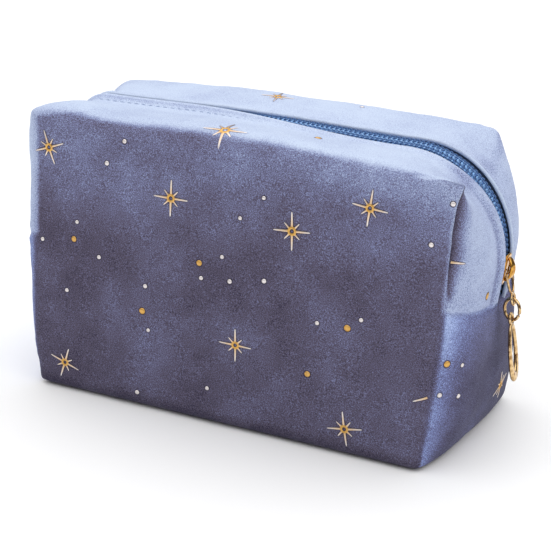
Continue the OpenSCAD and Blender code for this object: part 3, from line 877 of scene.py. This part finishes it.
# round spots, face by face; 1 marks a gold one
spotRows = [("front", [(-52.6, 95.4, 0), (-65.2, 70.6, 0), (-66.6, 63.6, 1), (-81.0, 60.9, 0), (-55.4, 58.5, 0),
                    (11.4, 92.7, 0), (2.7, 83.9, 0), (-3.8, 68.2, 0), (-69.6, 42.5, 0), (-35.4, 50.7, 0),
                    (-36.6, 40.5, 1), (-34.0, 33.2, 0), (-12.8, 64.3, 1), (-11.8, 58.7, 0), (-0.2, 59.6, 0),
                    (13.3, 62.3, 0), (-8.7, 14.9, 0), (-38.6, 6.4, 0), (73.4, 86.1, 0), (34.2, 50.1, 0),
                    (45.6, 50.4, 1), (50.6, 54.5, 0), (31.4, 29.6, 1), (-45.5, 104.6, 0)]),
            ("top", [(18.8, 30.5, 0), (21.5, -20.2, 1)]),
            ("front", [(79.6, 101.4, 0)]),
            ("right", [(-17.9, 62.8, 1), (-38.7, 43.0, 1), (-32.7, 41.2, 0), (-31.0, 28.5, 0), (-39.2, 31.0, 0)])]
spotPlaces = [(face,) + spot for face, row in spotRows for spot in row]


def scatter(face, uRange, vRange, count, apart, taken):
    # the back, the left end and the base carry the same print, strewn at random but no closer than apart
    places = []
    while len(places) < count:
        u, v = random.uniform(*uRange), random.uniform(*vRange)
        if all(math.hypot(u - a, v - b) > apart for a, b in taken + places):
            places.append((u, v))
    return [(face, u, v) for u, v in places]


for face, uRange, vRange, stars, spots in (("back", (-72, 60), (9, 94), 7, 22), ("left", (-33, 33), (8, 48), 2, 6),
                                           ("base", (-72, 68), (-32, 32), 4, 12)):
    placed = scatter(face, uRange, vRange, stars, 26, [])
    starPlaces += [p + (random.uniform(-20, 20),) for p in placed]
    taken = [(p[1], p[2]) for p in placed]
    spotPlaces += [p + (int(random.random() < 0.25),) for p in scatter(face, uRange, vRange, spots, 9, taken)]


def pressFoil():
    parts, paleness, marksAndShade, markPaintedShade = [], [], [], []
    jobs = []
    for face, u, v, turn, *ownSize in starPlaces:
        size = random.uniform(0.95, 1.03) * (ownSize[0] if ownSize else 1)
        jobs.append((face, u, v, turn, starOutline(size), starOutline(size, grow=foil["mark"])))
    for face, u, v, turn, rays, shift in rayPlaces:
        outlines = [starOutline(1, rays, grow) for grow in (0.0, foil["mark"])]
        jobs.append((face, u, v, turn) + tuple(([(a - shift, b, c, d) for a, b, c, d in o], f) for o, f in outlines))
    for face, u, v, gold in spotPlaces:
        radius = random.uniform(0.9, 1.1) * (foil["goldSpot"] if gold else foil["spot"])
        mark = spotOutline(radius + foil["mark"], 0, False)
        jobs.append((face, u, v, 0, spotOutline(radius, 0.0 if gold else 1.0), mark))
    for face, u, v, turn, (outline, shapeFaces), (markAndShadeOutline, markAndShadeFaces) in jobs:
        place, normal = onVelvet(face, u, v)
        if place is None:
            continue
        parts.append((layOnVelvet(place, normal, math.radians(turn), outline), shapeFaces))
        paleness += [p[3] for p in outline]
        marksAndShade.append((layOnVelvet(place, normal, math.radians(turn), markAndShadeOutline), markAndShadeFaces))
        # painted shadow: the press marks are dark, a little paler where they face up
        markPaintedShade += [0.08 + 0.5 * max(normal.z, 0)] * len(markAndShadeOutline)
    addLayer(makePiece("foilPrint", *joinParts(parts), foilSheen, "shell", "velvet"), "paleness", paleness)
    addLayer(makePiece("foilPressMarks", *joinParts(marksAndShade), velvet, "shell", "velvet"), "nap", markPaintedShade)


pressFoil()
print("foil pressed")

# slider and pull: zinc alloy, die cast, plated in champagne gold
# shade and sliderShade are dark painted reflections, mixed into the plate's colour
metalLook = {"colour": "#e2c391", "shade": "#8d6236", "slider": "#dba850", "sliderShade": "#a36a24",
             "roughness": 0.13, "hazeMm": 1.6}


def platedMaterial(name, colour, shade):
    # bright plate with faint polishing haze; the same pattern mixes the dark shade colour in as painted reflection
    material, tree = newMaterial(name)
    scale, roughness = 1 / (metalLook["hazeMm"] * mm), metalLook["roughness"]
    hazeAndReflection = patternOn(tree, "ShaderNodeTexNoise", {"Scale": scale, "Detail": 4.0}).outputs["Fac"]
    spread = addNode(tree, "ShaderNodeMapRange", {"From Min": 0.3, "From Max": 0.6}, {"Value": hazeAndReflection})
    mix = addNode(tree, "ShaderNodeMix", {"data_type": "RGBA", 6: linear(shade), 7: linear(colour)},
                  {0: spread.outputs["Result"]})
    rough = addNode(tree, "ShaderNodeMapRange", {"To Min": roughness - 0.06, "To Max": roughness + 0.08},
                    {"Value": hazeAndReflection})
    finishMaterial(tree, {"Metallic": 1.0}, {"Base Color": mix.outputs[2], "Roughness": rough.outputs["Result"]})
    return material


plated = platedMaterial("platedZincAlloy", metalLook["colour"], metalLook["shade"])
# the slider wears a deeper gold than the pull
sliderPlated = platedMaterial("goldPlatedZincAlloy", metalLook["slider"], metalLook["sliderShade"])


def bevelledPlate(outline, low, high, edge):
    # plate with rounded rims from an outline in (y, s), thick along x
    outline = np.asarray(outline, float)
    centre = outline.mean(0)
    count = len(outline)
    size = np.linalg.norm(outline - centre, axis=1, keepdims=True)
    rim = ((1.6, 0), (0.45, 0.3), (0, 1))   # how far in and how far up the rim's points lie, in edges
    profile = [(edge * a, low + edge * b) for a, b in rim] + [(edge * a, high - edge * b) for a, b in rim[::-1]]
    rings = []
    for inset, x in profile:
        ring = centre + (outline - centre) * (1 - inset / np.maximum(size, 0.01))
        rings.append(np.column_stack([np.full(count, x), ring]))
    points = np.vstack(rings)
    faces = gridFaces(len(rings), count, 0, closeColumns=True)
    faces += [tuple(range(count))[::-1], tuple((len(rings) - 1) * count + i for i in range(count))]
    return points, faces


def roundedBox(lowY, highY, lowS, highS, radius, steps=4):
    left, right, low, high = lowY + radius, highY - radius, lowS + radius, highS - radius
    outline = []
    for quarter, (y, s) in enumerate(((right, high), (left, high), (left, low), (right, low))):
        for i in range(steps + 1):
            a = math.radians(90 * quarter + 90 * i / steps)
            outline.append((y + radius * math.cos(a), s + radius * math.sin(a)))
    return outline


def toSlider(points):
    # from the slider's own directions, out and along the zipper, to the frame
    points = np.asarray(points, float)
    bend = zipPath["right"]
    lean = bend["turn"] - math.pi / 2
    x0, z0 = zipPoint(bend["end"] - bend["radius"] + bend["radius"] * bend["turn"])
    out, y, s = points[:, 0], points[:, 1], points[:, 2]
    x, z = out * math.cos(lean) + s * math.sin(lean), s * math.cos(lean) - out * math.sin(lean)
    return np.column_stack([x0 + x, y, z0 + z])


def makeSlider():
    # shield outline: broad shoulders at the mouth, narrower tail
    half = [(0, 5.7), (2.2, 5.6), (3.3, 5.0), (3.75, 3.6), (3.8, 1.2), (4.15, -1.0), (4.2, -3.4), (3.7, -4.9),
            (2.4, -5.6), (0, -5.2)]
    t = np.linspace(0, 1, 25)
    keys = np.linspace(0, 1, len(half))
    dense = np.column_stack([np.interp(t, keys, [p[0] for p in half]), np.interp(t, keys, [p[1] for p in half])])
    shield = np.vstack([dense[::-1], dense[1:-1] * (-1, 1)])
    parts = [bevelledPlate(shield, 0.2, 1.4, 0.34), bevelledPlate(shield, -4.35, -3.3, 0.3)]
    for side in (-1, 1):
        rim = roundedBox(side * 3.85 - 0.33, side * 3.85 + 0.33, -4.4, 3.6, 0.3)
        parts.append(bevelledPlate(rim, -1.2, 0.7, 0.12))
        rib = roundedBox(side * 2.75 - 0.22, side * 2.75 + 0.22, -3.6, 3.0, 0.2)
        parts.append(bevelledPlate(rib, 1.3, 1.62, 0.1))
    parts.append(bevelledPlate(roundedBox(-0.78, 0.78, -4.9, -2.0, 0.6), -3.9, 0.8, 0.1))
    sliderPoints, sliderFaces = joinParts(parts)
    makePiece("sliderBody", toSlider(sliderPoints), sliderFaces, sliderPlated, "slider", "slider_metal", "slider_body")


def makeCrown():
    # domed leaf that arches over the plate, with a raised rib along it
    rows, columns = 29, 13
    s = np.linspace(-1, 1, rows)[:, None]
    u = np.linspace(-1, 1, columns)[None, :]
    width = 2.15 * np.sqrt(np.clip(1 - np.abs(s) ** 2.3, 0, 1)) + 0.28
    arch = 1.3 + 2.95 * (1 - np.abs(s) ** 2.4) ** 0.8
    outer = arch - 0.75 * np.abs(u) ** 2.2 * (1 - s ** 2) + 0.22 * bell(u, 0.16) * (1 - s ** 2)
    inner = np.maximum(arch - 0.95, 1.15) - 0.35 * np.abs(u) ** 2 * (1 - s ** 2)
    y = width * u
    top = np.stack([outer + 0 * u, y + 0 * s, 4.75 * s + 0 * u], -1).reshape(-1, 3)
    low = np.stack([inner + 0 * u, y * 0.94 + 0 * s, 4.6 * s + 0 * u], -1).reshape(-1, 3)
    faces = gridFaces(rows, columns) + gridFaces(rows, columns, rows * columns, flip=True)
    shift = rows * columns
    # once round the leaf's border
    border = np.arange(shift).reshape(rows, columns)
    rim = np.concatenate([border[0], border[1:, -1], border[-1, -2::-1], border[-2:0:-1, 0]]).tolist()
    faces += [(b, a, a + shift, b + shift) for a, b in zip(rim, rim[1:] + rim[:1])]
    crown = toSlider(np.vstack([top, low]))
    makePiece("sliderCrown", crown, faces, sliderPlated, "slider", "slider_metal", "slider_crown")


makeSlider()
makeCrown()

# places of the pull's joints come from the frame
joints = {j["name"]: np.array(j["pos_m"]) / mm for j in frame["joints"]}
pull = {"ringTall": 4.05, "ringWide": 3.3, "ringWire": 0.64, "ringTurn": -20, "ringGap": 7, "eyeDrop": -0.9,
        "eyeRadius": 1.95, "hoopWide": 3.6, "hoopSide": 1.0, "hoopBottom": 2.2, "hoopThick": 0.7, "hoopTop": -2.3,
        "hoopLow": -24.4, "hoopLean": 9, "linkEye": 2.08}


def makeLink():
    bar, eye = joints["link_hinge"], joints["ring_swing"]
    down = (eye - bar) / np.linalg.norm(eye - bar)
    length = np.linalg.norm(eye - bar)
    outward = np.cross((0, 1, 0), down) * -1
    place = lambda y, d, n=0.0: bar + np.array((0, 1, 0)) * y + down * d + outward * n
    # stirrup: a bar under the crown, two arms that draw in towards the eye
    loop = [(-2.7, 0.12), (-1.4, 0), (0, 0), (1.4, 0), (2.7, 0.12), (3.15, 0.8), (3.1, 2.4), (2.95, 4.2), (2.5, 5.9),
            (1.9, 7.1), (0.9, 7.65), (0, 7.75), (-0.9, 7.65), (-1.9, 7.1), (-2.5, 5.9), (-2.95, 4.2), (-3.1, 2.4),
            (-3.15, 0.8)]
    loop = np.array(loop)
    t = np.arange(len(loop) * 4) / 4
    wrapped = np.vstack([loop, loop[:1]])
    smooth = np.column_stack([np.interp(t, np.arange(len(wrapped)), wrapped[:, k]) for k in range(2)])
    for _ in range(3):
        smooth = (np.roll(smooth, 1, 0) + 2 * smooth + np.roll(smooth, -1, 0)) / 4
    path = np.array([place(y, d) for y, d in smooth])
    parts = [sweep(path, 0.5, 0.42, sides=10, closed=True, across=outward)]
    eye = pull["linkEye"]
    ring = np.array([place(eye * math.sin(a), length + eye * math.cos(a)) for a in roundTurn(32)])
    parts.append(sweep(ring, 0.52, 0.6, sides=10, closed=True, across=outward))
    makePiece("pullLink", *joinParts(parts), plated, "link", "pull_metal", "pull_link")


def makeRing():
    # split ring of round wire, drawn a little long, its two ends nearly meeting
    tall, wide = pull["ringTall"], pull["ringWide"]
    centre = joints["ring_swing"] + (0, 0, -tall)
    turn = math.radians(pull["ringTurn"])
    gap = math.radians(pull["ringGap"])
    start = math.radians(-18)
    angle = np.linspace(start + gap / 2, start + 2 * math.pi - gap / 2, 64)
    level = wide * np.cos(angle)
    radial = np.column_stack([level * math.cos(turn), level * math.sin(turn), tall * np.sin(angle)])
    scale = np.ones(len(angle))
    scale[[0, -1]] = 0.72
    ringPoints, ringFaces = sweep(centre + radial, pull["ringWire"], pull["ringWire"], sides=12,
                                  across=(-math.sin(turn), math.cos(turn), 0), scale=scale)
    makePiece("jumpRing", ringPoints, ringFaces, plated, "ring", "pull_metal", "jump_ring")


def makeHoop():
    # flat oval hoop, slim at the sides and heavy at the bottom, with a small eye on top; it hangs a little outward
    eye = joints["hoop_swing"] + (0, 0, pull["eyeDrop"])
    steps, sides = 80, 14
    angle = roundTurn(steps)
    bottom = ((1 - np.cos(angle)) / 2) ** 3
    side = towards(pull["hoopSide"], pull["hoopBottom"], bottom)
    top, low = pull["hoopTop"], pull["hoopLow"] + pull["hoopBottom"]
    middle, half = (top + low) / 2, (top - low) / 2
    y = pull["hoopWide"] * np.sin(angle) * (1 - 0.1 * np.cos(angle))
    z = middle + half * np.cos(angle)
    path = np.column_stack([0 * y, y, z])
    parts = []
    hoopPoints, hoopFaces = sweep(path, pull["hoopThick"], 1.0, sides=sides, closed=True, across=(1, 0, 0))
    ringOf = np.repeat(np.arange(steps), sides)
    fromPath = hoopPoints - path[ringOf]
    inPlane = fromPath * (0, 1, 1) * side[ringOf][:, None]
    parts.append((path[ringOf] + inPlane + fromPath * (1, 0, 0) * (1 + 0.5 * bottom[ringOf])[:, None], hoopFaces))
    eyeAngle, eyeRadius = roundTurn(32), pull["eyeRadius"]
    eyePath = np.column_stack([0 * eyeAngle, eyeRadius * np.sin(eyeAngle), eyeRadius * np.cos(eyeAngle)])
    parts.append(sweep(eyePath, 0.6, 0.5, sides=10, closed=True, across=(1, 0, 0)))
    hoopPoints, hoopFaces = joinParts(parts)
    lean = math.radians(pull["hoopLean"])
    x, z = hoopPoints[:, 0].copy(), hoopPoints[:, 2].copy()
    hoopPoints[:, 0] = x * math.cos(lean) - z * math.sin(lean)
    hoopPoints[:, 2] = z * math.cos(lean) + x * math.sin(lean)
    makePiece("hoopPull", hoopPoints + eye, hoopFaces, plated, "hoop", "pull_metal", "hoop_pull")


makeLink()
makeRing()
makeHoop()
print("slider and pull made")

# inside: foam, lining and seam bindings, hidden while the zipper is closed
inside = {"foamDeep": 2.6, "foamThick": 1.6, "foamSlot": 14.0, "foam": "#e9e7df", "foamShade": "#cfcabb",
          "liningDeep": 4.9, "liningThick": 0.3, "liningSlot": 6.5, "lining": "#4b5a7c", "liningShade": "#38455f",
          "liningWidth": 0.245, "step": 5.0}


def cellular(name, key, cellMm, roughness):
    # foam cells or thread crossings, both drawn as cells of that size
    return twoTone(name, "ShaderNodeTexVoronoi", {"Scale": 1 / (cellMm * mm)}, inside[key], inside[key + "Shade"],
                   {"Roughness": roughness, "IOR": 1.5}, bump=(0.3, 0.1), output="Distance")


openCellFoam = cellular("openCellFoam", "foam", 0.9, 0.95)
wovenLining = cellular("wovenPolyesterLining", "lining", 0.5, 0.6)


def innerLayer(name, key, material, node):
    innerPoints, innerFaces, _, _ = shapeBody(inside["step"], 3)
    centre = innerPoints[innerFaces].mean(1)
    keep = ~((np.abs(centre[:, 1]) < inside[key + "Slot"]) & (centre[:, 2] > pouch["endSeam"] - 4))
    used, kept = np.unique(innerFaces[keep], return_inverse=True)
    kept = kept.reshape(-1, 4)
    skin = (innerPoints - vertexNormals(innerPoints, innerFaces) * inside[key + "Deep"])[used]
    piece = makePiece(name, skin, kept, material, "shell", key, node)
    solid = piece.modifiers.new("thickness", "SOLIDIFY")
    solid.thickness = inside[key + "Thick"] * mm
    solid.offset = -1
    return piece, skin[kept]


foamPiece, _ = innerLayer("foamLayer", "foam", openCellFoam, "foam_interlining")
liningPiece, corners = innerLayer("liningBag", "lining", wovenLining, "lining")


def makeBinding(name, node):
    # folded strip over the raw seam, with a soft rounded back
    low, high = (np.array(p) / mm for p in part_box(node))
    size = high - low
    along = int(np.argmax(size))
    thin = int(np.argmin(size))
    wide = 3 - along - thin
    count = 24
    path = np.repeat(((low + high) / 2)[None, :], count, 0)
    path[:, along] = np.linspace(low[along], high[along], count)
    path[:, wide] += 0.3 * np.sin(np.arange(count) * 0.9)
    across = np.zeros(3)
    across[wide] = 1
    makePiece(name, *sweep(path, size[wide] / 2, size[thin] / 2, sides=12, across=across), wovenLining, "shell",
              "binding", node)


for node in [n for n in frame["nodes"] if n.endswith("_binding")]:
    makeBinding(node.replace("_binding", "Binding").replace("_", ""), node)
print("inside made")

# studio: pale floor, broad soft light from above, weaker fill from the front
studio = {"floor": "#ffffff", "floorHalf": 4.0, "floorZ": -0.0004, "dim": "#4a484a", "bright": "#ffffff",
          "dimBelow": 0.28, "brightAbove": 0.66, "worldStrength": 1.45, "aim": (0, 0, 0.05),
          # name, place, size and watts
          "lamps": (("topSoftbox", (0.05, 0.25, 0.95), 0.9, 0.7), ("leftFill", (-0.8, -0.7, 0.45), 0.7, 0.4),
                    ("rightFill", (0.95, -0.25, 0.4), 0.6, 0.6))}


def makeStudio():
    floorMaterial, tree = newMaterial("paleStudioFloor")
    finishMaterial(tree, {"Base Color": linear(studio["floor"]), "Roughness": 0.9, "Specular IOR Level": 0.2}, None)
    mesh = bpy.data.meshes.new("studioFloor")
    half, z = studio["floorHalf"], studio["floorZ"]
    mesh.from_pydata([(-half, -half, z), (half, -half, z), (half, half, z), (-half, half, z)], [], [(0, 1, 2, 3)])
    mesh.materials.append(floorMaterial)
    floor = bpy.data.objects.new("studioFloor", mesh)
    bpy.context.scene.collection.objects.link(floor)
    world = bpy.data.worlds.new("studioWorld")
    world.use_nodes = True
    # soft dome: bright overhead, dim near the horizon so that the metal has something to reflect
    tree = world.node_tree
    direction = addNode(tree, "ShaderNodeTexCoord")
    height = addNode(tree, "ShaderNodeSeparateXYZ", None, {"Vector": direction.outputs["Generated"]})
    ramp = addNode(tree, "ShaderNodeValToRGB", None, {"Fac": height.outputs["Z"]})
    stops = ((studio["dimBelow"], studio["dim"]), (studio["brightAbove"], studio["bright"]))
    for element, (position, colour) in zip(ramp.color_ramp.elements, stops):
        element.position, element.color = position, linear(colour)
    tree.links.new(ramp.outputs["Color"], tree.nodes["Background"].inputs["Color"])
    tree.nodes["Background"].inputs["Strength"].default_value = studio["worldStrength"]
    bpy.context.scene.world = world
    for name, place, size, power in studio["lamps"]:
        data = bpy.data.lights.new(name, "AREA")
        data.size = size
        data.energy = power
        lamp = bpy.data.objects.new(name, data)
        lamp.location = place
        lamp.rotation_euler = (Vector(studio["aim"]) - Vector(place)).to_track_quat("-Z", "Y").to_euler()
        bpy.context.scene.collection.objects.link(lamp)
    bpy.context.scene.view_settings.view_transform = "Standard"


makeStudio()
print("studio lit")
